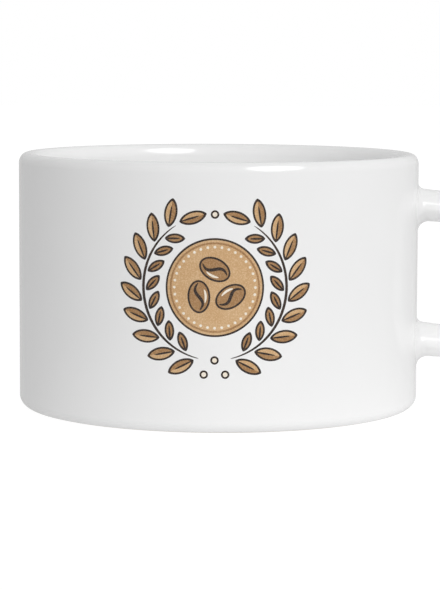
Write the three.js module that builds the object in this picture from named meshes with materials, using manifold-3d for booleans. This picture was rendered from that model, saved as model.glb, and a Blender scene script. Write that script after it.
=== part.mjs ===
// A wide, straight-sided ceramic mug with a loop handle, in the pieces that its maker joins: a turned cup,
// a cast handle, the two slip joints that hold the handle on, and a round printed film on the front.
// Millimetres, +Z up. The mug stands on Z = 0 with its footprint box centred on the origin, the handle
// towards +X and the print towards -Y.
import * as THREE from "three";
import { mergeVertices } from "three/addons/utils/BufferGeometryUtils.js";
import Module from "manifold-3d";

// Cup
const cupDiameter = 120;
const cupHeight = 76;
const wallThickness = 5.9;
const lipCrest = 2.5; // from the outside to the lip's highest line
const lipOuterHeight = 3.1; // of the lip's rounding on its outside
const lipInnerHeight = 3.8; // of the lip's rounding on its inside
const floorThickness = 5.5;
const outerCornerRadius = 3.2; // between the wall and the foot ring
const innerCornerRadius = 9; // between the inside wall and the inside floor
const footRingWidth = 4.5; // bare ring that the mug stands on
const footRecessDepth = 1.8; // the underside is raised this much inside the ring
const footRecessRadius = 1.2; // between the ring's inner side and the raised underside

// Handle, a strap of rounded section that runs round a loop
const upperArmDrop = 15.2; // from the lip down to the middle of the upper arm, at the wall
const lowerArmHeight = 20.1; // from the table up to the middle of the lower arm, at the wall
const armSag = 2.5; // each arm comes down this much between the wall and the grip
const handleReach = 36; // from the wall to the outside of the grip
const handleBend = 19; // length of arm, and of grip, that a rounded corner takes up
const upperArmThickness = 9.4;
const lowerArmThickness = 9.8;
const armWidth = 18; // at the wall
const gripThickness = 8.8;
const gripWidth = 14;
const strapEdgeRadius = 2.2; // of the strap's two rounded edges

// Slip joints, the clay that holds the handle's ends to the wall
const slipThickness = 0.8; // between the wall and the end of an arm
const slipFillet = 2.6; // rounding that the slip makes between the wall and an arm
const slipEdge = 0.5; // thickness of the slip where it thins out

// Printed film
const printRimMargin = 7.2; // from the lip down to the film's top edge
const printFootMargin = 13.8; // from the table up to the film's bottom edge
const printThickness = 0.2;

// Clearances between the pieces
const jointClearance = 0.3; // each side of a slip joint
const printClearance = 0.1; // behind the film

// Fineness of the round shapes
const roundSegments = 72;
const strapSides = 24;
const bendSteps = 10;
const armSteps = 2;
const filletSteps = 5;
const arcSteps = 4;
const filmRings = 6;
const mergeDistance = 1e-4;

// Sizes that follow from the ones above
const cupRadius = cupDiameter / 2;
const insideRadius = cupRadius - wallThickness;
const insideFloorHeight = footRecessDepth + floorThickness;
const upperArmHeight = cupHeight - upperArmDrop;
const gripCentre = handleReach - gripThickness / 2; // from the wall to the middle of the grip
const slipHeight = jointClearance + slipEdge + slipFillet; // from the wall to the top of a joint
const printDiameter = cupHeight - printRimMargin - printFootMargin;
const printHeight = printFootMargin + printDiameter / 2;
const handleFacing = 0;
const printFacing = -Math.PI / 2;

const glaze = new THREE.MeshStandardMaterial({ color: 0xf1f1ef, roughness: 0.12, metalness: 0 });
const ink = new THREE.MeshStandardMaterial({ color: 0xc9a06d, roughness: 0.3, metalness: 0 });

const wasm = await Module();
wasm.setup();

// A closed geometry as a solid that can be cut.
function toSolid(geometry) {
  const bare = geometry.clone();
  bare.deleteAttribute("normal");
  bare.deleteAttribute("uv");
  const merged = mergeVertices(bare, mergeDistance);
  const mesh = new wasm.Mesh({
    numProp: 3,
    vertProperties: merged.attributes.position.array,
    triVerts: new Uint32Array(merged.index.array),
  });
  return new wasm.Manifold(mesh);
}

function toGeometry(solid) {
  const { vertProperties, triVerts } = solid.getMesh();
  const geometry = new THREE.BufferGeometry();
  geometry.setAttribute("position", new THREE.BufferAttribute(vertProperties, 3));
  geometry.setIndex(new THREE.BufferAttribute(triVerts, 1));
  geometry.computeVertexNormals();
  return geometry;
}

// A closed skin over rings of points, with a fan over each end.
function loft(rings) {
  const sides = rings[0].length;
  const points = rings.flat();
  const index = [];
  for (let ring = 0; ring + 1 < rings.length; ring++) {
    for (let side = 0; side < sides; side++) {
      const here = ring * sides + side;
      const next = ring * sides + ((side + 1) % sides);
      index.push(here, next, here + sides, next, next + sides, here + sides);
    }
  }
  const lastRing = (rings.length - 1) * sides;
  const firstMiddle = points.length;
  const lastMiddle = firstMiddle + 1;
  points.push(middleOf(rings[0]), middleOf(rings.at(-1)));
  for (let side = 0; side < sides; side++) {
    const next = (side + 1) % sides;
    index.push(firstMiddle, next, side);
    index.push(lastMiddle, lastRing + side, lastRing + next);
  }
  return new THREE.BufferGeometry().setFromPoints(points).setIndex(index);
}

function middleOf(ring) {
  const sum = ring.reduce((total, point) => total.add(point), new THREE.Vector3());
  return sum.divideScalar(ring.length);
}

// The outline of the strap, two shallow arcs joined by rounded edges, grown by a margin all round: pairs of
// distances across its width and through its thickness.
function strapSection(width, thickness, margin) {
  const edgeMiddle = width / 2 - strapEdgeRadius;
  const rise = thickness / 2 - strapEdgeRadius;
  const sink = (edgeMiddle ** 2 - rise ** 2) / (2 * rise); // how far an arc's centre is past the strap's middle
  const arcRadius = thickness / 2 + sink;
  return Array.from({ length: strapSides }, (_, side) => {
    const facing = (2 * Math.PI * side) / strapSides;
    const across = Math.cos(facing);
    const through = Math.sin(facing);
    if (Math.abs(through) * edgeMiddle < Math.abs(across) * sink) {
      const radius = strapEdgeRadius + margin;
      return [Math.sign(across) * edgeMiddle + radius * across, radius * through];
    }
    const radius = arcRadius + margin;
    return [radius * across, radius * through - Math.sign(through) * sink];
  });
}

// The width of the strap at a distance out from the wall.
function strapWidth(out) {
  return THREE.MathUtils.lerp(armWidth, gripWidth, out / gripCentre);
}

// The point that lies this far across, up and out from the cup's wall, on the side that it faces.
function onCup(facing, across, up, out) {
  const angle = facing + across / cupRadius;
  const radius = cupRadius + out;
  return new THREE.Vector3(radius * Math.cos(angle), radius * Math.sin(angle), up);
}

// A cylinder round the cup's axis, taller than the cup.
function cupCylinder(radius) {
  const geometry = new THREE.CylinderGeometry(radius, radius, 2 * cupHeight, roundSegments);
  return toSolid(geometry.rotateX(Math.PI / 2));
}

function cupGeometry() {
  const footOuter = cupRadius - outerCornerRadius;
  const footInner = footOuter - footRingWidth;
  const recessArc = footRecessDepth - footRecessRadius;
  const crest = cupRadius - lipCrest;
  const lipInner = wallThickness - lipCrest;
  const profile = new THREE.Path();
  profile.moveTo(0, footRecessDepth);
  profile.lineTo(footInner - footRecessRadius, footRecessDepth);
  profile.absarc(footInner - footRecessRadius, recessArc, footRecessRadius, Math.PI / 2, 0, true);
  profile.lineTo(footInner, 0);
  profile.lineTo(footOuter, 0);
  profile.absarc(footOuter, outerCornerRadius, outerCornerRadius, -Math.PI / 2, 0, false);
  profile.lineTo(cupRadius, cupHeight - lipOuterHeight);
  profile.absellipse(crest, cupHeight - lipOuterHeight, lipCrest, lipOuterHeight, 0, Math.PI / 2, false);
  profile.absellipse(crest, cupHeight - lipInnerHeight, lipInner, lipInnerHeight, Math.PI / 2, Math.PI, false);
  profile.lineTo(insideRadius, insideFloorHeight + innerCornerRadius);
  profile.absarc(
    insideRadius - innerCornerRadius,
    insideFloorHeight + innerCornerRadius,
    innerCornerRadius,
    0,
    -Math.PI / 2,
    true,
  );
  profile.lineTo(0, insideFloorHeight);
  return new THREE.LatheGeometry(profile.getPoints(arcSteps), roundSegments).rotateX(Math.PI / 2);
}

// The height of an arm's middle at a distance out from the wall.
function armMiddle(heightAtWall, out) {
  return heightAtWall - (armSag * out) / gripCentre;
}

// The middle of the handle's strap: distance from the wall, and height. It starts and ends inside the wall.
function handlePath() {
  const armPoint = (heightAtWall, out) => new THREE.Vector2(out, armMiddle(heightAtWall, out));
  const upperRoot = armPoint(upperArmHeight, -slipHeight);
  const upperCorner = armPoint(upperArmHeight, gripCentre);
  const lowerCorner = armPoint(lowerArmHeight, gripCentre);
  const lowerRoot = armPoint(lowerArmHeight, -slipHeight);
  const bend = Math.min(handleBend, upperCorner.distanceTo(lowerCorner) / 2);
  const along = (from, to) => from.clone().add(to.clone().sub(from).setLength(bend));
  const path = new THREE.CurvePath();
  const upperStart = along(upperCorner, upperRoot);
  const upperEnd = along(upperCorner, lowerCorner);
  const lowerStart = along(lowerCorner, upperCorner);
  const lowerEnd = along(lowerCorner, lowerRoot);
  path.add(new THREE.LineCurve(upperRoot, upperStart));
  path.add(new THREE.QuadraticBezierCurve(upperStart, upperCorner, upperEnd));
  path.add(new THREE.QuadraticBezierCurve(lowerStart, lowerCorner, lowerEnd));
  path.add(new THREE.LineCurve(lowerEnd, lowerRoot));
  return path;
}

// The strap swept round the loop, thicker at its arms than at its grip, and grown by a margin all round.
function handleStrap(margin) {
  const rings = [];
  const gripMiddle = (armMiddle(upperArmHeight, gripCentre) + armMiddle(lowerArmHeight, gripCentre)) / 2;
  for (const curve of handlePath().curves) {
    const steps = curve.isLineCurve ? armSteps : bendSteps;
    for (let step = 0; step <= steps; step++) {
      const middle = curve.getPoint(step / steps);
      const along = curve.getTangent(step / steps);
      const gripShare = THREE.MathUtils.smoothstep(middle.x, slipHeight, gripCentre);
      const armThickness = middle.y > gripMiddle ? upperArmThickness : lowerArmThickness;
      const thickness = THREE.MathUtils.lerp(armThickness, gripThickness, gripShare);
      const ring = strapSection(strapWidth(middle.x), thickness, margin).map(([across, through]) => {
        const out = middle.x - along.y * through;
        const up = middle.y + along.x * through;
        return new THREE.Vector3(cupRadius + out, across, up);
      });
      const last = rings.at(-1);
      if (!last || middleOf(ring).distanceTo(middleOf(last)) > mergeDistance) rings.push(ring);
    }
  }
  return toSolid(loft(rings));
}

// The slip that spreads round the root of an arm: a collar that flares out onto the wall, with a seat
// for the arm's end.
function slipJoint(armHeight, armThickness) {
  const margin = jointClearance + slipEdge;
  const collar = (spread, out) => {
    const section = strapSection(strapWidth(out), armThickness, margin + spread);
    return section.map(([across, up]) => onCup(handleFacing, across, armMiddle(armHeight, out) + up, out));
  };
  const rings = [collar(slipFillet, -slipHeight)];
  for (let step = 0; step <= filletSteps; step++) {
    const angle = ((Math.PI / 2) * step) / filletSteps;
    const spread = slipFillet * (1 - Math.sin(angle));
    rings.push(collar(spread, margin + slipFillet * (1 - Math.cos(angle))));
  }
  const seat = handleStrap(jointClearance).subtract(cupCylinder(cupRadius + jointClearance + slipThickness));
  return toSolid(loft(rings)).subtract(cupCylinder(cupRadius + jointClearance)).subtract(seat);
}

// A thin disc, bent round the front of the cup.
function printGeometry() {
  const back = printClearance;
  const front = printClearance + printThickness;
  const radii = Array.from({ length: filmRings + 1 }, (_, ring) => (printDiameter / 2) * (ring / filmRings));
  const profile = radii.map((radius) => new THREE.Vector2(radius, back));
  profile.push(...radii.reverse().map((radius) => new THREE.Vector2(radius, front)));
  const disc = new THREE.LatheGeometry(profile, roundSegments).rotateX(Math.PI / 2);
  const place = disc.attributes.position;
  for (let i = 0; i < place.count; i++) {
    const bent = onCup(printFacing, place.getX(i), printHeight + place.getY(i), place.getZ(i));
    place.setXYZ(i, bent.x, bent.y, bent.z);
  }
  return disc;
}

function piece(name, geometry, material) {
  const mesh = new THREE.Mesh(geometry, material);
  mesh.name = name;
  return mesh;
}

const handleEnds = cupCylinder(cupRadius + slipThickness + 2 * jointClearance);
const handle = handleStrap(0).subtract(handleEnds);

const mug = new THREE.Group();
mug.position.x = -handleReach / 2;
mug.add(piece("cup_body", cupGeometry(), glaze));
mug.add(piece("handle", toGeometry(handle), glaze));
mug.add(piece("upper_handle_joint", toGeometry(slipJoint(upperArmHeight, upperArmThickness)), glaze));
mug.add(piece("lower_handle_joint", toGeometry(slipJoint(lowerArmHeight, lowerArmThickness)), glaze));
mug.add(piece("print_film", printGeometry(), ink));

const part = new THREE.Group();
part.add(mug);

export default part;
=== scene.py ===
# A wide white glazed mug with a loop handle and a printed front, in a plain studio
import math

import bmesh
import bpy
from mathutils import Color, Matrix, Vector


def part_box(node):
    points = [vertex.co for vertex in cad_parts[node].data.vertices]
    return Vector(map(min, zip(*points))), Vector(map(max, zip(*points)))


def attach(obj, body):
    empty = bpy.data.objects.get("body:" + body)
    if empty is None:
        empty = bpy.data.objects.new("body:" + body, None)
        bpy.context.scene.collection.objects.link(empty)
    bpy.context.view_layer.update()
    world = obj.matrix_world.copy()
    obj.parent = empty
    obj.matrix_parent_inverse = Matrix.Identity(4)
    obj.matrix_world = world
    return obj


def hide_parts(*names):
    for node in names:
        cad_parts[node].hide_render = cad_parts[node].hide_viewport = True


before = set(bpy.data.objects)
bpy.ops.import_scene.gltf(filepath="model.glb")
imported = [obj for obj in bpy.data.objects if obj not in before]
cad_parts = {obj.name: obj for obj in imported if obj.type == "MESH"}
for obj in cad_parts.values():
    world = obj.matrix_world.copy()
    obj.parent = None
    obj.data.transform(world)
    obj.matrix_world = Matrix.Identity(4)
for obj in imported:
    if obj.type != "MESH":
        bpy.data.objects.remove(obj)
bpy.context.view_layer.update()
scene = bpy.context.scene
scene.view_settings.view_transform = "Standard"
mm = 0.001
pureWhite = (1, 1, 1, 1)

# the cup's place and size come from the frame
cupLow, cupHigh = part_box("cup_body")
cupRadius = (cupHigh.x - cupLow.x) / 2
cupHeight = cupHigh.z
cupAxis = (cupLow + cupHigh) / 2
cupAxis.z = 0
print("frame loaded, cup", round(2 * cupRadius / mm, 1), "x", round(cupHeight / mm, 1), "mm")


def addObject(name, data):
    thing = bpy.data.objects.new(name, data)
    scene.collection.objects.link(thing)
    return thing


# Camera: fitted to the rim, foot and side edges of the picture
cameraSettings = dict(
    imageHeight=590,  # pixels on the long side
    focalPixels=2449,
    sensor=36,
    distance=737.35 * mm,  # from the cup's axis
    height=111.8 * mm,
    azimuth=0.95,  # degrees towards the handle
    yaw=0.04,  # turned this much past the cup's axis
    pitch=6.112,
    roll=0.224,
)


def makeCamera(settings):
    data = bpy.data.cameras.new("camera")
    data.sensor_width = settings["sensor"]
    data.lens = settings["focalPixels"] / settings["imageHeight"] * settings["sensor"]
    camera = addObject("camera", data)
    around = Matrix.Rotation(math.radians(settings["azimuth"]), 4, "Z")
    turn = Matrix.Rotation(math.radians(settings["azimuth"] - settings["yaw"]), 4, "Z")
    tilt = Matrix.Rotation(math.radians(90 - settings["pitch"]), 4, "X")
    roll = Matrix.Rotation(math.radians(settings["roll"]), 4, "Z")
    back = around @ Vector((0, -settings["distance"], settings["height"]))
    camera.matrix_world = Matrix.Translation(cupAxis + back) @ turn @ tilt @ roll
    scene.camera = camera


makeCamera(cameraSettings)
print("camera set")


# Node helpers
def feed(tree, socket, value):
    # an input takes a link or a fixed value
    if isinstance(value, bpy.types.NodeSocket):
        tree.links.new(value, socket)
    else:
        socket.default_value = value


def feedInputs(tree, node, **inputs):
    # inputs by name, with _ for a space
    for name, value in inputs.items():
        feed(tree, node.inputs[name.replace("_", " ")], value)


def addNode(tree, kind, **inputs):
    node = tree.nodes.new(kind)
    feedInputs(tree, node, **inputs)
    return node


def addMath(tree, operation, first, second=0.0, clamp=False):
    node = tree.nodes.new("ShaderNodeMath")
    node.operation = operation
    node.use_clamp = clamp
    feed(tree, node.inputs[0], first)
    feed(tree, node.inputs[1], second)
    return node.outputs["Value"]


def addVectorMath(tree, operation, first, second=(0, 0, 0)):
    node = tree.nodes.new("ShaderNodeVectorMath")
    node.operation = operation
    feed(tree, node.inputs[0], first)
    feed(tree, node.inputs[1], second)
    return node.outputs


def addMix(tree, factor, first, second):
    node = tree.nodes.new("ShaderNodeMix")
    node.data_type = "RGBA"
    for index, value in ((0, factor), (6, first), (7, second)):  # places of the factor and the two colours
        feed(tree, node.inputs[index], value)
    return node.outputs[2]


def addRange(tree, value, span, result):
    # turns a value's span, low and high, into another
    node = addNode(
        tree, "ShaderNodeMapRange", Value=value,
        From_Min=span[0], From_Max=span[1], To_Min=result[0], To_Max=result[1],
    )
    return node.outputs["Result"]


def objectPlace(tree):
    return addNode(tree, "ShaderNodeTexCoord").outputs["Object"]


def placeFromAxis(tree):
    # where a point lies across the cup's axis, level
    across = addVectorMath(tree, "SUBTRACT", objectPlace(tree), cupAxis)["Vector"]
    return addVectorMath(tree, "MULTIPLY", across, (1, 1, 0))["Vector"]


def addNoise(tree, place, scale, detail):
    node = addNode(tree, "ShaderNodeTexNoise", Vector=place, Scale=scale, Detail=detail)
    return node.outputs["Fac"]


def addBump(tree, height, distance, **under):
    # under is the normal of the bump that this one lies on, where there is one
    node = addNode(tree, "ShaderNodeBump", Height=height, Distance=distance, **under)
    return node.outputs["Normal"]


def newGroup(name, inputs, outputs):
    group = bpy.data.node_groups.new(name, "ShaderNodeTree")
    for label, kind, value in inputs:
        socket = group.interface.new_socket(label, in_out="INPUT", socket_type="NodeSocket" + kind)
        socket.default_value = value
    for label, kind in outputs:
        group.interface.new_socket(label, in_out="OUTPUT", socket_type="NodeSocket" + kind)
    start = group.nodes.new("NodeGroupInput")
    end = group.nodes.new("NodeGroupOutput")
    return group, start.outputs, end


def placeGroup(tree, group, **inputs):
    node = tree.nodes.new("ShaderNodeGroup")
    node.node_tree = group
    feedInputs(tree, node, **inputs)
    return node.outputs


def newMaterial(name):
    material = bpy.data.materials.new(name)
    material.use_nodes = True
    tree = material.node_tree
    return material, tree, tree.nodes["Principled BSDF"]


def srgb(red, green, blue):
    colour = Color((red / 255, green / 255, blue / 255)).from_srgb_to_scene_linear()
    return (*colour, 1.0)


# Shared surface effects
glazeSkinSettings = dict(
    waveScale=60.0,
    waveDetail=1.0,
    cloudScale=25.0,
    cloudDetail=3.0,
    cloudSpan=(0.35, 0.65),  # levels of the noise over which the white turns cloudy
    roughSpan=(0.3, 0.7),  # and over which it turns rougher
    lowRoughness=0.03,
    highRoughness=0.06,
)


def makeGlazeSkin(settings):
    # slow waves in the glass and a faint cloudiness in the white
    group, given, end = newGroup(
        "glazeSkin",
        [
            ("White", "Color", pureWhite),
            ("Cloud", "Color", pureWhite),
            ("Wave Scale", "Float", settings["waveScale"]),
            ("Cloud Scale", "Float", settings["cloudScale"]),
            ("Low Roughness", "Float", settings["lowRoughness"]),
            ("High Roughness", "Float", settings["highRoughness"]),
        ],
        [("Colour", "Color"), ("Roughness", "Float"), ("Height", "Float")],
    )
    place = objectPlace(group)
    wave = addNoise(group, place, given["Wave Scale"], settings["waveDetail"])
    cloud = addNoise(group, place, given["Cloud Scale"], settings["cloudDetail"])
    cloudy = addRange(group, cloud, settings["cloudSpan"], (0, 1))
    rough = addRange(group, cloud, settings["roughSpan"], (given["Low Roughness"], given["High Roughness"]))
    clouded = addMix(group, cloudy, given["White"], given["Cloud"])
    feedInputs(group, end, Colour=clouded, Roughness=rough, Height=wave)
    return group


inkGrainSettings = dict(
    grainScale=2600.0,
    blotchScale=160.0,
    detail=2.0,
    stippleSpan=(0.42, 0.66),  # levels of the fine grain over which the ink thins
    stippleShare=0.75,  # how far it thins there
    blotchSpan=(0.4, 0.7),  # the same for the slower blotches
    blotchShare=0.45,
    roughSpan=(0.3, 0.7),
    lowRoughness=0.18,
    highRoughness=0.32,
)


def makeInkGrain(settings):
    # uneven ink: a fine stipple and slower blotches where it lies thinner
    group, given, end = newGroup(
        "inkGrain",
        [
            ("Ink", "Color", pureWhite),
            ("Thin Ink", "Color", pureWhite),
            ("Grain Scale", "Float", settings["grainScale"]),
            ("Blotch Scale", "Float", settings["blotchScale"]),
            ("Low Roughness", "Float", settings["lowRoughness"]),
            ("High Roughness", "Float", settings["highRoughness"]),
        ],
        [("Colour", "Color"), ("Roughness", "Float"), ("Height", "Float")],
    )
    place = objectPlace(group)
    grain = addNoise(group, place, given["Grain Scale"], settings["detail"])
    blotch = addNoise(group, place, given["Blotch Scale"], settings["detail"])
    stipple = addRange(group, grain, settings["stippleSpan"], (0, settings["stippleShare"]))
    blotched = addRange(group, blotch, settings["blotchSpan"], (0, settings["blotchShare"]))
    thin = addMath(group, "ADD", stipple, blotched, clamp=True)
    rough = addRange(group, grain, settings["roughSpan"], (given["Low Roughness"], given["High Roughness"]))
    inked = addMix(group, thin, given["Ink"], given["Thin Ink"])
    feedInputs(group, end, Colour=inked, Roughness=rough, Height=grain)
    return group


glazeSkin = makeGlazeSkin(glazeSkinSettings)
inkGrain = makeInkGrain(inkGrainSettings)
print("shared surface effects made")


# Glaze on the cup, on the handle, and the bare clay of the foot ring
glazeSettings = dict(
    white=srgb(247, 247, 247),
    cloud=srgb(245, 245, 245),
    ior=1.6,
    waveDistance=0.03 * mm,
    ringSpacing=1.7 * mm,  # faint turning rings on the cup's floor, inside and below
    ringDistance=0.012 * mm,
    seamWidth=0.35 * mm,  # the handle's mould seam, rubbed down and glazed over
    seamDistance=0.05 * mm,
)


def glazeMaterial(name, settings):
    material, tree, shader = newMaterial(name)
    skin = placeGroup(tree, glazeSkin, White=settings["white"], Cloud=settings["cloud"])
    feedInputs(tree, shader, Base_Color=skin["Colour"], Roughness=skin["Roughness"], IOR=settings["ior"])
    return material, tree, shader, addBump(tree, skin["Height"], settings["waveDistance"])


def cupGlaze(settings):
    material, tree, shader, waves = glazeMaterial("cupGlaze", settings)
    radius = addVectorMath(tree, "LENGTH", placeFromAxis(tree))["Value"]
    phase = addMath(tree, "MULTIPLY", radius, math.tau / settings["ringSpacing"])
    turning = addMath(tree, "SINE", phase)
    feedInputs(tree, shader, Normal=addBump(tree, turning, settings["ringDistance"], Normal=waves))
    return material


def handleGlaze(settings):
    material, tree, shader, waves = glazeMaterial("handleGlaze", settings)
    parts = addNode(tree, "ShaderNodeSeparateXYZ", Vector=objectPlace(tree)).outputs
    offSeam = addMath(tree, "ABSOLUTE", addMath(tree, "SUBTRACT", parts["Y"], cupAxis.y))
    seam = addRange(tree, offSeam, (0, settings["seamWidth"]), (1, 0))
    feedInputs(tree, shader, Normal=addBump(tree, seam, settings["seamDistance"], Normal=waves))
    return material


claySettings = dict(
    pale=srgb(222, 212, 196),
    dark=srgb(196, 183, 163),
    grainScale=900.0,
    grainDetail=4.0,
    grainDistance=0.05 * mm,
    patchSpan=(0.35, 0.65),  # levels of the grain over which the clay darkens
    roughness=(0.7, 0.9),
)


def footClay(settings):
    material, tree, shader = newMaterial("footClay")
    grain = addNoise(tree, objectPlace(tree), settings["grainScale"], settings["grainDetail"])
    patchy = addRange(tree, grain, settings["patchSpan"], (0, 1))
    colour = addMix(tree, patchy, settings["pale"], settings["dark"])
    rough = addRange(tree, patchy, (0, 1), settings["roughness"])
    bump = addBump(tree, grain, settings["grainDistance"])
    feedInputs(tree, shader, Base_Color=colour, Roughness=rough, Normal=bump)
    return material


# Inks, fired onto the glaze
inkSettings = dict(
    caramel=dict(ink=srgb(205, 163, 114), thin=srgb(221, 186, 143)),
    brown=dict(ink=srgb(160, 118, 74), thin=srgb(182, 142, 98)),
    cream=dict(ink=srgb(244, 231, 210), thin=srgb(250, 243, 230)),
    espresso=dict(ink=srgb(38, 29, 25), thin=srgb(66, 50, 40)),
    grainDistance=0.01 * mm,
)


def inkMaterial(name, settings):
    tint = settings[name]
    material, tree, shader = newMaterial(name + "Ink")
    grain = placeGroup(tree, inkGrain, Ink=tint["ink"], Thin_Ink=tint["thin"])
    bump = addBump(tree, grain["Height"], settings["grainDistance"])
    feedInputs(tree, shader, Base_Color=grain["Colour"], Roughness=grain["Roughness"], Normal=bump)
    return material


# Mesh helpers
def addLoft(bm, rings, materials=None, loop=False):
    # skins rings of points; a ring of one point closes an end, loop joins the last ring to the first
    made = [[bm.verts.new(point) for point in ring] for ring in rings]
    pairs = list(zip(made, made[1:]))
    if loop:
        pairs.append((made[-1], made[0]))
    for row, (near, far) in enumerate(pairs):
        count = max(len(near), len(far))
        for i in range(count):
            j = (i + 1) % count
            corners = []
            for vert in (near[i % len(near)], near[j % len(near)], far[j % len(far)], far[i % len(far)]):
                if vert not in corners:
                    corners.append(vert)
            face = bm.faces.new(corners)
            face.smooth = True
            face.material_index = materials[row] if materials else 0


def meshObject(name, bm, materials):
    mesh = bpy.data.meshes.new(name)
    bm.to_mesh(mesh)
    bm.free()
    for material in materials:
        mesh.materials.append(material)
    return addObject(name, mesh)


def makePiece(name, bm, materials, nodes, sharpAngle=35):
    bmesh.ops.recalc_face_normals(bm, faces=bm.faces)
    for edge in bm.edges:
        edge.smooth = edge.calc_face_angle(0) < math.radians(sharpAngle)
    piece = meshObject(name, bm, materials)
    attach(piece, "root")
    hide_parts(*nodes)
    print(name, len(piece.data.polygons), "faces")


def arcPoints(middle, radius, start, end, steps, rise=None):
    # part of a circle, or of an oval where its rise is given too
    rise = radius if rise is None else rise
    angles = [math.radians(start + (end - start) * i / steps) for i in range(steps + 1)]
    return [(middle[0] + radius * math.cos(a), middle[1] + rise * math.sin(a)) for a in angles]


def linePoints(start, end, steps):
    # only the points between the ends
    return [
        (start[0] + (end[0] - start[0]) * i / steps, start[1] + (end[1] - start[1]) * i / steps)
        for i in range(1, steps)
    ]


# Cup
cupSettings = dict(
    wall=5.9 * mm,
    lipCrest=2.5 * mm,  # from the outside to the lip's highest line
    lipOuter=3.1 * mm,  # height of the lip's rounding on its outside
    lipInner=3.8 * mm,  # and on its inside
    floorHeight=7.3 * mm,
    outerCorner=3.2 * mm,
    innerCorner=9 * mm,
    footRing=4.5 * mm,
    footRounding=0.3 * mm,  # of the foot ring's inner edge
    recessDepth=1.8 * mm,
    recessCorner=1.2 * mm,
    recessEdge=8,  # degrees round that corner where its glaze stops
    clayInset=0.1 * mm,  # the bare foot lies this far under the glaze
    clayStep=(-83, -79),  # degrees round the outer corner between which it drops to that
    glazeEdge=-70,  # and where the glaze of the wall stops
    beadRadius=0.09 * mm,  # rolled edge of the glaze
    beadSweep=120,
    segments=256,
)


def cupProfile(settings):
    # radius, height and finish (0 glaze, 1 bare clay), from the middle of the underside to the inside floor
    wall, crest = settings["wall"], settings["lipCrest"]
    lipOuter, lipInner = settings["lipOuter"], settings["lipInner"]
    corner, innerCorner = settings["outerCorner"], settings["innerCorner"]
    recess, depth = settings["recessCorner"], settings["recessDepth"]
    inset, rounding = settings["clayInset"], settings["footRounding"]
    floor = settings["floorHeight"]
    inside = cupRadius - wall
    innerMiddle = (inside - innerCorner, floor + innerCorner)
    footOut = cupRadius - corner
    footIn = footOut - settings["footRing"]
    clayIn = footIn + inset + rounding
    cornerMiddle = (footOut, corner)
    stepStart, stepEnd = settings["clayStep"]
    edge, bead = settings["glazeEdge"], settings["beadRadius"]
    edgeTurn = math.degrees(bead / corner)  # the bead's own share of the corner
    edgeMiddle = arcPoints(cornerMiddle, corner - bead, edge + edgeTurn, edge, 1)[0]
    # the last plain number of each call is its count of steps
    under = [(0, depth)]
    under += linePoints((0, depth), (footIn - recess, depth), 14)
    under += arcPoints((footIn - recess, depth - recess), recess, 90, settings["recessEdge"], 8)
    ring = arcPoints((clayIn, rounding), rounding, 180, 270, 5)
    ring += linePoints((clayIn, 0), (footOut, 0), 4)
    ring += arcPoints(cornerMiddle, corner, -90, stepStart, 3)
    ring += arcPoints(cornerMiddle, corner - inset, stepEnd, edge - edgeTurn, 4)
    outside = arcPoints(edgeMiddle, bead, edge - settings["beadSweep"], edge, 7)
    outside += arcPoints(cornerMiddle, corner, edge + edgeTurn, 0, 12)
    outside += linePoints((cupRadius, corner), (cupRadius, cupHeight - lipOuter), 16)
    outside += arcPoints((cupRadius - crest, cupHeight - lipOuter), crest, 0, 90, 18, lipOuter)[:-1]
    outside += arcPoints((cupRadius - crest, cupHeight - lipInner), wall - crest, 90, 180, 24, lipInner)
    outside += linePoints((inside, cupHeight - lipInner), (inside, floor + innerCorner), 14)
    outside += arcPoints(innerMiddle, innerCorner, 0, -90, 18)
    outside += linePoints((innerMiddle[0], floor), (0, floor), 16)
    outside += [(0, floor)]
    return [(*p, 0) for p in under] + [(*p, 1) for p in ring] + [(*p, 0) for p in outside]


def makeCup(settings, materials):
    bm = bmesh.new()
    rings = []
    finishes = []
    for radius, height, finish in cupProfile(settings):
        count = settings["segments"] if radius > 0 else 1
        turns = [math.tau * i / count for i in range(count)]
        ring = [Vector((radius * math.cos(t), radius * math.sin(t), height)) + cupAxis for t in turns]
        rings.append(ring)
        finishes.append(finish)
    addLoft(bm, rings, finishes)
    makePiece("cup", bm, materials, ["cup_body"])


glazeOnCup = cupGlaze(glazeSettings)
glazeOnHandle = handleGlaze(glazeSettings)
clay = footClay(claySettings)
makeCup(cupSettings, [glazeOnCup, clay])


# Handle: a strap of rounded section round a loop, and the slip fillets at its two roots
handleSettings = dict(
    armSag=2.8 * mm,  # each arm comes down this much between the wall and the grip
    bend=19 * mm,  # length of arm, and of grip, that a rounded corner takes up
    armWidth=18 * mm,  # at the wall
    gripThickness=8.8 * mm,
    gripWidth=14 * mm,
    taper=1.25,  # power of the way out by which the strap narrows
    edgeRadius=2.2 * mm,  # of the strap's two rounded edges
    fillet=2.6 * mm,  # spread of the slip on the wall, round an arm
    filletLean=0.3,  # more of it below the arm and less above, by this share
    filletLength=2.6 * mm,  # its length along the arm
    filletLift=0.006 * mm,  # the slip's thin edge stands this proud of the wall
    finerAtWall=1.4,  # power that moves the fillet's rings towards the wall
    rootDepth=0.6 * mm,  # the joint goes this far into the wall
    rootTries=5,  # rounds of seeking where an arm's side reaches the round wall
    jointEnd=4.2 * mm,  # from the wall to where the joint meets the handle
    firstStation=1 * mm,  # and on to the handle's first square section
    sides=96,
    armSteps=8,
    bendSteps=26,
    filletSteps=22,
)
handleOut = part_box("handle")[1].x - cupAxis.x - cupRadius  # from the wall to the outside of the grip
gripMiddle = handleOut - handleSettings["gripThickness"] / 2

# height of an arm's middle and its thickness, both at the wall
upperArm = dict(height=cupHeight - 15.32 * mm, thickness=9.75 * mm)
lowerArm = dict(height=20.04 * mm, thickness=10.4 * mm)


def strapWidth(settings, reach):
    share = max(reach / gripMiddle, 0) ** settings["taper"]
    return settings["armWidth"] + (settings["gripWidth"] - settings["armWidth"]) * share


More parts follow.
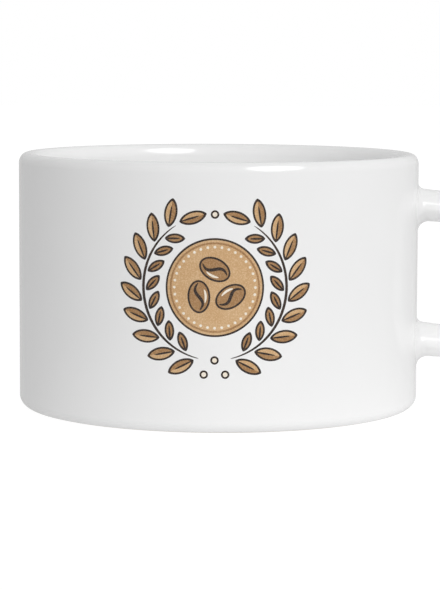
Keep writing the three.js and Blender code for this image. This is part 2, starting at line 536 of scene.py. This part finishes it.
def strapThickness(settings, arm, reach):
    grip = settings["gripThickness"]
    return grip + (arm["thickness"] - grip) * (1 - reach / gripMiddle) ** 2


def strapPoint(settings, arm, reach, turn, spread=0.0):
    # one point of the strap's outline, across and through it: two shallow arcs joined by rounded edges
    thickness = strapThickness(settings, arm, reach)
    edge = settings["edgeRadius"]
    edgeMiddle = strapWidth(settings, reach) / 2 - edge
    rise = thickness / 2 - edge
    sink = (edgeMiddle**2 - rise**2) / (2 * rise)  # from the strap's middle to the middle of an arc
    across, through = math.cos(turn), math.sin(turn)
    if abs(through) * edgeMiddle < abs(across) * sink:
        radius = edge + spread
        return math.copysign(edgeMiddle, across) + radius * across, radius * through
    radius = thickness / 2 + sink + spread
    return radius * across, radius * through - math.copysign(sink, through)


def rootRing(settings, arm, spread, out, lean=0.0):
    # a ring round an arm at one distance from the wall
    # the wall is round, so each of its points is sought along the arm
    slope = math.atan2(settings["armSag"], gripMiddle)
    ring = []
    for i in range(settings["sides"]):
        turn = math.tau * i / settings["sides"]
        share = 1 - lean * math.sin(turn)
        reach = out
        for _ in range(settings["rootTries"]):
            across, through = strapPoint(settings, arm, reach, turn, spread * share)
            x = math.sqrt((cupRadius + out * share) ** 2 - across**2) - cupRadius
            reach = x - math.sin(slope) * through
        z = arm["height"] - math.tan(slope) * reach + math.cos(slope) * through
        ring.append(cupAxis + Vector((cupRadius + x, across, z)))
    return ring


def filletRings(settings, arm):
    # from the wall, out along a rounding and a little way along the arm
    rings = []
    for step in range(settings["filletSteps"] + 1):
        turn = math.pi / 2 * (step / settings["filletSteps"]) ** settings["finerAtWall"]
        spread = settings["fillet"] * (1 - math.sin(turn))
        out = settings["filletLift"] + settings["filletLength"] * (1 - math.cos(turn))
        rings.append(rootRing(settings, arm, spread, out, settings["filletLean"]))
    rings.append(rootRing(settings, arm, 0, settings["jointEnd"]))
    return rings


def middleOf(ring):
    return sum(ring, Vector()) / len(ring)


def makeJoint(name, node, settings, arm, material):
    bm = bmesh.new()
    rings = filletRings(settings, arm)
    inside = rootRing(settings, arm, settings["fillet"], -settings["rootDepth"], settings["filletLean"])
    addLoft(bm, [[middleOf(inside)], inside, *rings, [middleOf(rings[-1])]])
    makePiece(name, bm, [material], [node])


def bezier(start, corner, end, t):
    return start * (1 - t) ** 2 + corner * 2 * t * (1 - t) + end * t**2


def bezierWay(start, corner, end, t):
    return ((corner - start) * (1 - t) + (end - corner) * t).normalized()


def loopStations(settings):
    # middle of the strap and its direction, out from the wall and up, round the two bends
    roots = [Vector((0, arm["height"])) for arm in (upperArm, lowerArm)]
    corners = [root + Vector((gripMiddle, -settings["armSag"])) for root in roots]
    toRoot = [(roots[i] - corners[i]).normalized() for i in (0, 1)]
    bend = min(settings["bend"], (corners[0] - corners[1]).length / 2)
    down = (corners[1] - corners[0]).normalized()
    starts = [corners[0] + toRoot[0] * bend, corners[1] - down * bend]
    ends = [corners[0] + down * bend, corners[1] + toRoot[1] * bend]
    bends = []
    for start, corner, end in zip(starts, corners, ends):
        for step in range(settings["bendSteps"] + 1):
            t = step / settings["bendSteps"]
            bends.append((bezier(start, corner, end, t), bezierWay(start, corner, end, t)))
    arms = []
    for root, bent, way in ((roots[0], starts[0], -toRoot[0]), (roots[1], ends[1], toRoot[1])):
        near = root.lerp(bent, (settings["jointEnd"] + settings["firstStation"]) / bent.x)
        steps = settings["armSteps"]
        arms.append([(near.lerp(bent, step / steps), way) for step in range(steps)])
    return arms[0] + bends + arms[1][::-1]


def makeHandle(settings, material):
    bm = bmesh.new()
    sides = settings["sides"]
    rings = [filletRings(settings, upperArm)[-1]]
    stations = loopStations(settings)
    for index, (middle, way) in enumerate(stations):
        arm = upperArm if index < len(stations) / 2 else lowerArm
        ring = []
        for i in range(sides):
            across, through = strapPoint(settings, arm, middle.x, math.tau * i / sides)
            out = middle.x - way.y * through
            up = middle.y + way.x * through
            ring.append(cupAxis + Vector((cupRadius + out, across, up)))
        rings.append(ring)
    # the lower arm runs back to the wall, so its sections are turned over
    lowerEnd = filletRings(settings, lowerArm)[-1]
    rings.append([lowerEnd[(sides - i) % sides] for i in range(sides)])
    addLoft(bm, [[middleOf(rings[0])], *rings, [middleOf(rings[-1])]])
    makePiece("handleLoop", bm, [material], ["handle"])


makeHandle(handleSettings, glazeOnHandle)
makeJoint("upperSlipJoint", "upper_handle_joint", handleSettings, upperArm, glazeOnHandle)
makeJoint("lowerSlipJoint", "lower_handle_joint", handleSettings, lowerArm, glazeOnHandle)


# Print: two leafy branches round a disc with coffee beans, each colour a thin raised coat of ink
printSettings = dict(
    step=1.4 * mm,  # patches are cut this fine so that they follow the round wall
    coat=0.025 * mm,  # thickness of one coat
    bevel=0.012 * mm,
    sunk=0.02 * mm,  # a coat starts this far inside the one below it, the first under the glaze
    line=0.54 * mm,  # dark outline
    discRadius=13.3 * mm,
    discSides=120,
    bandRadius=12.4 * mm,
    bandWidth=0.54 * mm,
    beadRing=11.35 * mm,
    beadRadius=0.39 * mm,
    beadCount=36,
    dotSides=20,  # of a bead or berry
    beanCount=3,
    beanRing=5.1 * mm,
    beanTurn=62,  # degrees from lying along the ring's radius
    beanLength=9.3 * mm,
    beanWidth=6.4 * mm,
    creaseWidth=0.92 * mm,
    creaseReach=0.48,  # half its length, as a share of the bean's inside
    creaseWave=0.16,  # its swing, as a share of the bean's width
    creaseSteps=24,
    glintWidth=0.65 * mm,
    glintArc=(55, 130),  # degrees round the bean
    glintReach=(0.39, 0.36),  # out from the bean's middle, along and across, as shares of its inside
    glintSteps=16,
    stemRadius=20.4 * mm,
    stemWidth=0.8 * mm,
    stemStart=11,  # degrees from the print's lowest point
    stemEnd=149,
    stemSteps=40,
    stemGap=0.8 * mm,  # from the stem's middle to a leaf
    leafPoint=1.4,  # how far an oval is drawn out to a leaf's two points
    shadeShift=0.22,  # from a leaf's spine to the middle of its shaded half, as a share of its width
    shadeSides=20,
    veinWidth=0.54 * mm,
    veinReach=(0.46, 0.26),  # towards a leaf's root and its tip, as shares of its length
    veinSteps=8,
    outerLeaves=dict(
        count=9, first=16, last=142, length=8.2 * mm, width=3.8 * mm, tilt=43, fill="caramel", shade="brown"
    ),
    innerLeaves=dict(
        count=8, first=24, last=134, length=5.8 * mm, width=2.8 * mm, tilt=46, fill="brown", shade=None
    ),
    endLeaf=dict(length=8 * mm, width=3.7 * mm, fill="caramel", shade="brown"),
    berryRadius=1.2 * mm,
    # degrees from the print's lowest point, and distance from its middle
    berries=((180, 20.4 * mm), (0, 20.4 * mm), (7, 24.6 * mm), (-7, 24.6 * mm)),
)
filmLow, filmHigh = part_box("print_film")
printHeight = (filmHigh.z + filmLow.z) / 2


def onFront(point, lift):
    angle = -math.pi / 2 + point.x / cupRadius
    radius = cupRadius + lift
    return cupAxis + Vector((radius * math.cos(angle), radius * math.sin(angle), printHeight + point.y))


def polar(radius, angle):
    return Vector((radius * math.cos(angle), radius * math.sin(angle)))


def fromFoot(radius, degrees):
    # a place by its angle from the print's lowest point
    return polar(radius, math.radians(degrees - 90))


def coatHeights(settings, coat):
    # bottom and top of one coat of ink, counted up from the glaze
    return settings["coat"] * coat - settings["sunk"], settings["coat"] * (coat + 1)


def addPatch(bm, settings, middle, outline, coat):
    # a closed island of ink that fills an outline
    low, high = coatHeights(settings, coat)
    reach = max((point - middle).length for point in outline)
    steps = max(2, math.ceil(reach / settings["step"]))
    inner = 1 - settings["bevel"] / reach
    rings = [[onFront(middle, high)]]
    for i in range(1, steps + 1):
        rings.append([onFront(middle.lerp(point, inner * i / steps), high) for point in outline])
    rings.append([onFront(point, high - settings["bevel"]) for point in outline])
    for i in range(steps, 0, -1):
        rings.append([onFront(middle.lerp(point, i / steps), low) for point in outline])
    rings.append([onFront(middle, low)])
    addLoft(bm, rings)


def lineSection(settings, coat):
    # across a line of ink: share of the half width, part of the bevel taken off it, and height
    low, high = coatHeights(settings, coat)
    bevel = settings["bevel"]
    half = [(1, 0, low), (1, 0, high - bevel), (1, bevel, high)]
    return half + [(-side, -cut, height) for side, cut, height in reversed(half)]


def addBand(bm, settings, radius, width, coat):
    # a closed ring of ink round the print's middle
    sides = settings["discSides"]
    rings = []
    for side, cut, height in lineSection(settings, coat):
        reach = radius + side * width / 2 - cut
        rings.append([onFront(polar(reach, math.tau * i / sides), height) for i in range(sides)])
    addLoft(bm, rings, loop=True)


def addStroke(bm, settings, points, width, coat):
    # a closed line of ink that tapers to both ends
    low = coatHeights(settings, coat)[0]
    section = lineSection(settings, coat)
    last = len(points) - 1
    rings = [[onFront(points[0], low)]]
    for i in range(1, last):
        way = (points[i + 1] - points[i - 1]).normalized()
        across = Vector((-way.y, way.x))
        half = width / 2 * math.sqrt(math.sin(math.pi * i / last))
        rings.append([onFront(points[i] + across * (side * half - cut), z) for side, cut, z in section])
    rings.append([onFront(points[-1], low)])
    addLoft(bm, rings)


def ovalOutline(middle, length, width, turn, point=1.0, count=40, start=0.0, end=math.tau):
    # an oval, or a leaf shape where point is over 1, or one part of either
    outline = []
    steps = count if end - start == math.tau else count - 1
    for i in range(count):
        a = start + (end - start) * i / steps
        along = length / 2 * math.cos(a)
        side = width / 2 * math.copysign(abs(math.sin(a)) ** point, math.sin(a))
        outline.append(middle + Matrix.Rotation(turn, 2) @ Vector((along, side)))
    return outline


def addDisc(bm, settings, middle, radius, sides, coat):
    addPatch(bm, settings, middle, ovalOutline(middle, 2 * radius, 2 * radius, 0, count=sides), coat)


def addLeaf(layers, settings, leaf, middle, turn):
    point, line = settings["leafPoint"], settings["line"]
    size = (leaf["length"], leaf["width"])
    inside = (size[0] - 3 * line, size[1] - 2 * line)  # the outline is thicker at the two points
    addPatch(layers["espresso"], settings, middle, ovalOutline(middle, *size, turn, point), 0)
    addPatch(layers[leaf["fill"]], settings, middle, ovalOutline(middle, *inside, turn, point), 1)
    spine = Matrix.Rotation(turn, 2) @ Vector((1, 0))
    side = Vector((-spine.y, spine.x))
    if leaf["shade"]:
        sides = settings["shadeSides"]
        half = ovalOutline(middle, *inside, turn, point, count=sides, start=math.pi, end=math.tau)
        halfMiddle = middle - side * inside[1] * settings["shadeShift"]
        addPatch(layers[leaf["shade"]], settings, halfMiddle, half, 2)
    toRoot, toTip = settings["veinReach"]
    ends = (middle - spine * size[0] * toRoot, middle + spine * size[0] * toTip)
    steps = settings["veinSteps"]
    vein = [ends[0].lerp(ends[1], i / steps) for i in range(steps + 1)]
    addStroke(layers["espresso"], settings, vein, settings["veinWidth"], 3)


def addBean(layers, settings, middle, turn):
    line = settings["line"]
    size = (settings["beanLength"], settings["beanWidth"])
    inside = (size[0] - 2 * line, size[1] - 2 * line)
    addPatch(layers["espresso"], settings, middle, ovalOutline(middle, *size, turn), 2)
    addPatch(layers["brown"], settings, middle, ovalOutline(middle, *inside, turn), 3)
    spin = Matrix.Rotation(turn, 2)
    crease = []
    steps = settings["creaseSteps"]
    for i in range(steps + 1):
        share = 2 * i / steps - 1
        wave = settings["creaseWave"] * size[1] * math.sin(math.pi * share)
        crease.append(middle + spin @ Vector((share * inside[0] * settings["creaseReach"], wave)))
    addStroke(layers["espresso"], settings, crease, settings["creaseWidth"], 4)
    glint = []
    start, end = settings["glintArc"]
    along, across = settings["glintReach"]
    steps = settings["glintSteps"]
    for i in range(steps + 1):
        a = math.radians(start + (end - start) * i / steps)
        spot = Vector((inside[0] * along * math.cos(a), inside[1] * across * math.sin(a)))
        glint.append(middle + spin @ spot)
    addStroke(layers["cream"], settings, glint, settings["glintWidth"], 4)


def growth(side, degrees):
    # the direction in which a branch grows at an angle from the print's lowest point
    return math.radians(degrees - 90 + side * 90)


def addBranch(layers, settings, side):
    # one half of the wreath: a stem, leaves on both sides of it and one at its tip
    radius, gap = settings["stemRadius"], settings["stemGap"]
    start, end = settings["stemStart"], settings["stemEnd"]
    steps = settings["stemSteps"]
    stem = [fromFoot(radius, side * (start + (end - start) * i / steps)) for i in range(steps + 1)]
    addStroke(layers["espresso"], settings, stem, settings["stemWidth"], 0)
    for outward, leaf in ((1, settings["outerLeaves"]), (-1, settings["innerLeaves"])):
        tilt = math.radians(leaf["tilt"])
        for i in range(leaf["count"]):
            angle = side * (leaf["first"] + (leaf["last"] - leaf["first"]) * i / (leaf["count"] - 1))
            turn = growth(side, angle) - side * outward * tilt
            root = fromFoot(radius + outward * gap, angle)
            addLeaf(layers, settings, leaf, root + polar(leaf["length"] / 2, turn), turn)
    leaf = settings["endLeaf"]
    angle = side * (end + math.degrees((leaf["length"] / 2 + gap) / radius))
    addLeaf(layers, settings, leaf, fromFoot(radius, angle), growth(side, angle))


def addMedal(layers, settings):
    # the middle disc with its edge line, band and beads, and the beans on it
    centre = Vector((0, 0))
    radius, sides = settings["discRadius"], settings["discSides"]
    addDisc(layers["espresso"], settings, centre, radius + settings["line"], sides, 0)
    addDisc(layers["caramel"], settings, centre, radius, sides, 1)
    addBand(layers["brown"], settings, settings["bandRadius"], settings["bandWidth"], 2)
    for i in range(settings["beadCount"]):
        spot = fromFoot(settings["beadRing"], 360 * i / settings["beadCount"])
        addDisc(layers["cream"], settings, spot, settings["beadRadius"], settings["dotSides"], 2)
    for i in range(settings["beanCount"]):
        angle = 180 + 360 * i / settings["beanCount"]
        turn = math.radians(angle - 90 + settings["beanTurn"])
        addBean(layers, settings, fromFoot(settings["beanRing"], angle), turn)


def makePrint(settings, inks):
    layers = {ink: bmesh.new() for ink in ("caramel", "brown", "cream", "espresso")}
    addMedal(layers, settings)
    for side in (-1, 1):
        addBranch(layers, settings, side)
    for angle, radius in settings["berries"]:
        spot = fromFoot(radius, angle)
        berry, sides = settings["berryRadius"], settings["dotSides"]
        addDisc(layers["espresso"], settings, spot, berry, sides, 0)
        addDisc(layers["cream"], settings, spot, berry - settings["line"], sides, 1)
    for ink, bm in layers.items():
        makePiece(ink + "Print", bm, [inkMaterial(ink, inks)], ["print_film"])


makePrint(printSettings, inkSettings)


# Studio: a white floor that glows most beside the mug, a pale world that is brightest behind
# and in front, and one tall soft light
stageSettings = dict(
    floorSize=6.0,
    floorCells=8,
    floorColour=(0.86, 0.86, 0.86, 1),
    floorRoughness=0.9,
    shadowShare=0.14,  # how much of the real shadow the white floor keeps
    floorWhite=1.09,  # makes up for what the shadow's share takes off the white
    worldWhite=1.0,
    reflected=0.63,  # brightness of floor and world in the glaze
    # light that the floor gives beside the mug, and the world, by the side that it comes from
    glow=dict(left=0.53, right=0.99, front=0.75, back=0.85, top=0),
    sky=dict(left=0.16, right=1.0, front=1.82, back=1.95, top=0.28),
    glowFalloff=0.37,  # power of the distance by which the floor's light fades
)


def strengthByRay(tree, light, mirrored, white):
    # the camera and glass see white, the glaze what it mirrors, and the rest is lit by the light
    path = addNode(tree, "ShaderNodeLightPath").outputs
    seen = addMath(tree, "ADD", path["Is Camera Ray"], path["Is Transmission Ray"], clamp=True)
    unseen = addMath(tree, "SUBTRACT", 1.0, seen)
    other = addMath(tree, "SUBTRACT", unseen, path["Is Glossy Ray"], clamp=True)
    glossy = addMath(tree, "MULTIPLY", path["Is Glossy Ray"], mirrored)
    shown = addMath(tree, "ADD", addMath(tree, "MULTIPLY", seen, white), glossy)
    return addMath(tree, "ADD", shown, addMath(tree, "MULTIPLY", other, light))


def lightBySide(tree, way, sides):
    # each side's strength, by the square of that part of the direction
    parts = addNode(tree, "ShaderNodeSeparateXYZ", Vector=way).outputs
    sideAxes = dict(left=("X", -1), right=("X", 1), front=("Y", -1), back=("Y", 1), top=("Z", 1))
    total = 0.0
    for side, (axis, sign) in sideAxes.items():
        part = addMath(tree, "MAXIMUM", addMath(tree, "MULTIPLY", parts[axis], sign), 0.0)
        light = addMath(tree, "MULTIPLY", addMath(tree, "POWER", part, 2), sides[side])
        total = addMath(tree, "ADD", total, light)
    return total


def floorGlow(tree, settings):
    across = placeFromAxis(tree)
    distance = addVectorMath(tree, "LENGTH", across)["Value"]
    nearer = addMath(tree, "DIVIDE", cupRadius, distance, clamp=True)
    faded = addMath(tree, "POWER", nearer, settings["glowFalloff"])
    way = addVectorMath(tree, "NORMALIZE", across)["Vector"]
    return addMath(tree, "MULTIPLY", faded, lightBySide(tree, way, settings["glow"]))


def floorMaterial(settings):
    material, tree, shader = newMaterial("floorWhite")
    colour, rough = settings["floorColour"], settings["floorRoughness"]
    feedInputs(tree, shader, Base_Color=colour, Roughness=rough, Specular_IOR_Level=0.0)
    glow = floorGlow(tree, settings)
    strength = strengthByRay(tree, glow, settings["reflected"], settings["floorWhite"])
    white = addNode(tree, "ShaderNodeEmission", Strength=strength)
    mix = addNode(tree, "ShaderNodeMixShader", Fac=1 - settings["shadowShare"])
    tree.links.new(shader.outputs["BSDF"], mix.inputs[1])
    tree.links.new(white.outputs["Emission"], mix.inputs[2])
    tree.links.new(mix.outputs["Shader"], tree.nodes["Material Output"].inputs["Surface"])
    return material


def makeFloor(settings):
    bm = bmesh.new()
    cells = settings["floorCells"]
    bmesh.ops.create_grid(bm, x_segments=cells, y_segments=cells, size=settings["floorSize"] / 2)
    floor = meshObject("floor", bm, [floorMaterial(settings)])


# a tall oval softbox in front of the mug on its right, leaning with its top towards the handle
softboxSettings = dict(
    azimuth=39,
    elevation=43.5,
    lean=21.5,
    distance=1.0,
    width=0.5,
    height=1.02,
    watts=1.1,
    gloss=3.0,  # what it adds to the world's brightness in the glaze
    glossEdge=0.06,  # softness of its edge there
)


def softboxWays(settings):
    # towards the softbox, across it and up along it
    azimuth, elevation = math.radians(settings["azimuth"]), math.radians(settings["elevation"])
    turn = Matrix.Rotation(azimuth, 3, "Z") @ Matrix.Rotation(-elevation, 3, "X")
    turn = turn @ Matrix.Rotation(math.radians(settings["lean"]), 3, "Y")
    return turn @ Vector((0, -1, 0)), turn @ Vector((1, 0, 0)), turn @ Vector((0, 0, 1))


def softboxGloss(tree, way, settings):
    # the softbox's oval in the world, which only the glaze shows
    out, across, along = softboxWays(settings)
    towards = addVectorMath(tree, "DOT_PRODUCT", way, out)["Value"]
    squares = []
    for side, size in ((across, settings["width"]), (along, settings["height"])):
        scaled = side * 2 * settings["distance"] / size
        share = addMath(tree, "DIVIDE", addVectorMath(tree, "DOT_PRODUCT", way, scaled)["Value"], towards)
        squares.append(addMath(tree, "MULTIPLY", share, share))
    reach = addMath(tree, "SQRT", addMath(tree, "ADD", *squares))
    edge = settings["glossEdge"]
    return addRange(tree, reach, (1 - edge, 1 + edge), (settings["gloss"], 0))


def makeWorld(settings):
    world = bpy.data.worlds.new("studio")
    world.use_nodes = True
    scene.world = world
    tree = world.node_tree
    background = tree.nodes["Background"]
    background.inputs["Color"].default_value = pureWhite
    way = addNode(tree, "ShaderNodeTexCoord").outputs["Generated"]
    mirrored = addMath(tree, "ADD", softboxGloss(tree, way, softboxSettings), settings["reflected"])
    light = lightBySide(tree, way, settings["sky"])
    strength = strengthByRay(tree, light, mirrored, settings["worldWhite"])
    tree.links.new(strength, background.inputs["Strength"])


def makeSoftbox(settings):
    data = bpy.data.lights.new("softbox", "AREA")
    data.shape = "ELLIPSE"
    data.size = settings["width"]
    data.size_y = settings["height"]
    data.energy = settings["watts"]
    light = addObject("softbox", data)
    light.visible_camera = False
    out, across, along = softboxWays(settings)
    turn = Matrix((across, along, out)).transposed().to_4x4()  # it shines along its own -Z, at the mug
    middle = cupAxis + Vector((0, 0, cupHeight / 2))
    light.matrix_world = Matrix.Translation(middle + out * settings["distance"]) @ turn


makeFloor(stageSettings)
makeWorld(stageSettings)
makeSoftbox(softboxSettings)
print("studio set")
